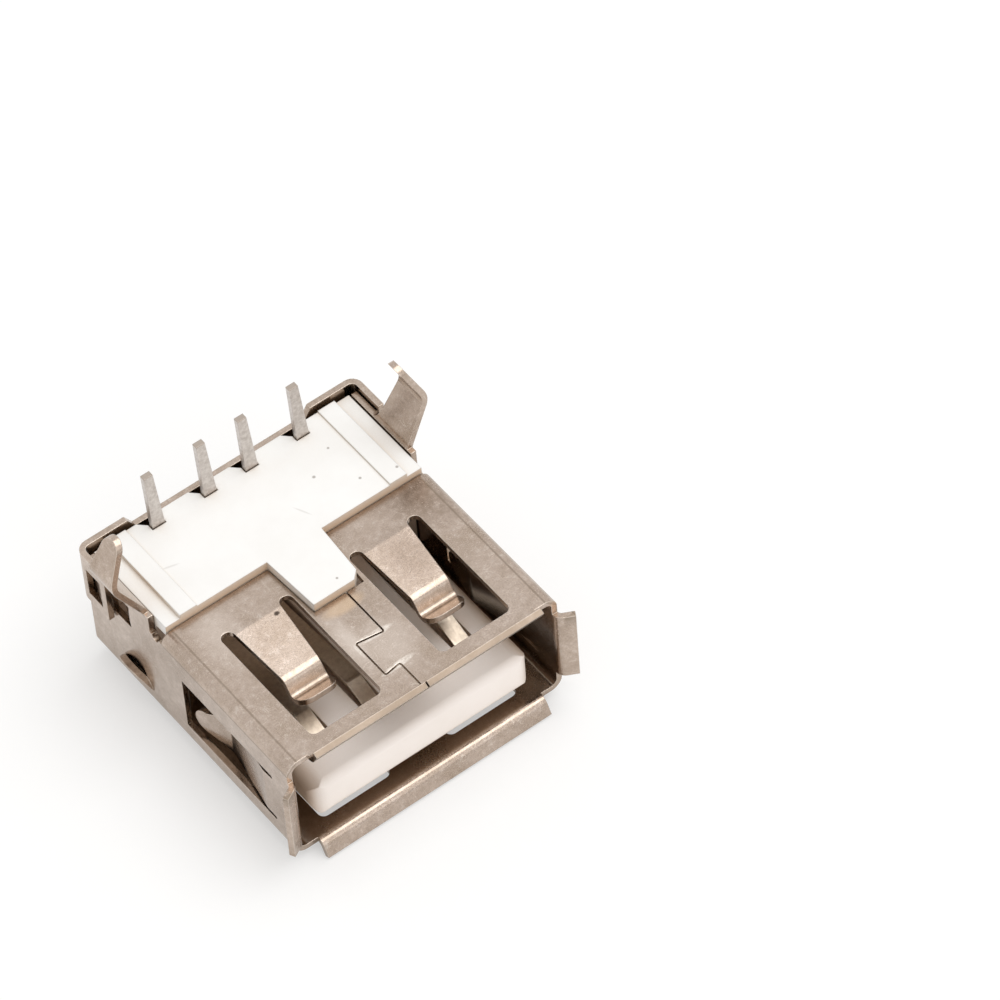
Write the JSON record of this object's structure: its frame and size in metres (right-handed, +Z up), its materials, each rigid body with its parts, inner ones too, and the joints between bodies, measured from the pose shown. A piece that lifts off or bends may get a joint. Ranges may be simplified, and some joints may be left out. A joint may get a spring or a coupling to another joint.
{
  "type": "usb-a socket",
  "caption": "Right-angle USB-A board socket: folded metal shell with flared lips, lanced springs and snap legs round a white moulding that carries spring contacts and solder pins.",
  "frame": {"origin": "under the middle of the part, on the plane of the lip edge it lies on", "axes": "+X across the mouth, -Y out of the mouth, +Z up along the solder pins, away from the wall it lies on"},
  "size_m": [0.0152, 0.0142, 0.0105],
  "materials": {
    "nickel_sheet": "dull nickel plate with fine scratches",
    "white_moulding": "matt",
    "contact_strip": "tin plated"
  },
  "bodies": {
    "root": {"shell": "nickel_sheet", "insulator": "white_moulding", "contact_1": "contact_strip", "contact_2": "contact_strip", "contact_3": "contact_strip", "contact_4": "contact_strip"}
  },
  "joints": []
}
